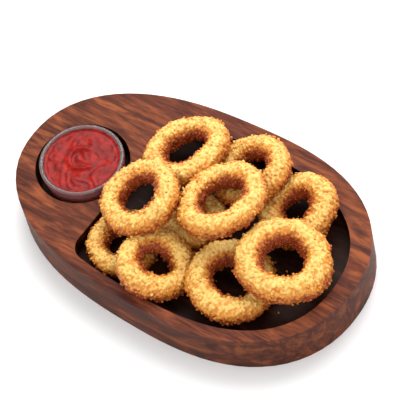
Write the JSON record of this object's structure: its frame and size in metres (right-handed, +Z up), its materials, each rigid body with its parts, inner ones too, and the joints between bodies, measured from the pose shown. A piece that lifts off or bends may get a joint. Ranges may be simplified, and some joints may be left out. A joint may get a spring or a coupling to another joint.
{
  "type": "onion rings side",
  "caption": "Breaded fried onion rings heaped in the pocket of an egg-shaped wooden serving board, with a glass pot of ketchup in a round recess.",
  "frame": {"origin": "on the surface that the board lies on, below the middle of the board's outline", "axes": "+X along the board from the dip pot to the heap of rings, +Y to the back, +Z up"},
  "size_m": [0.3, 0.183, 0.0811],
  "materials": {
    "wood": "oiled, satin, with dark and golden streaks along the board",
    "clear_glass": "clear, polished",
    "ketchup": "moist and glossy",
    "crust": "crisp fried crumb, cream to golden brown"
  },
  "bodies": {
    "root": {"board": "wood", "dip_glass": "clear_glass", "ketchup": "ketchup", "onion_ring_01": "crust", "onion_ring_02": "crust", "onion_ring_03": "crust", "onion_ring_04": "crust", "onion_ring_05": "crust", "onion_ring_06": "crust", "onion_ring_07": "crust", "onion_ring_08": "crust", "onion_ring_09": "crust", "onion_ring_10": "crust"}
  },
  "joints": []
}
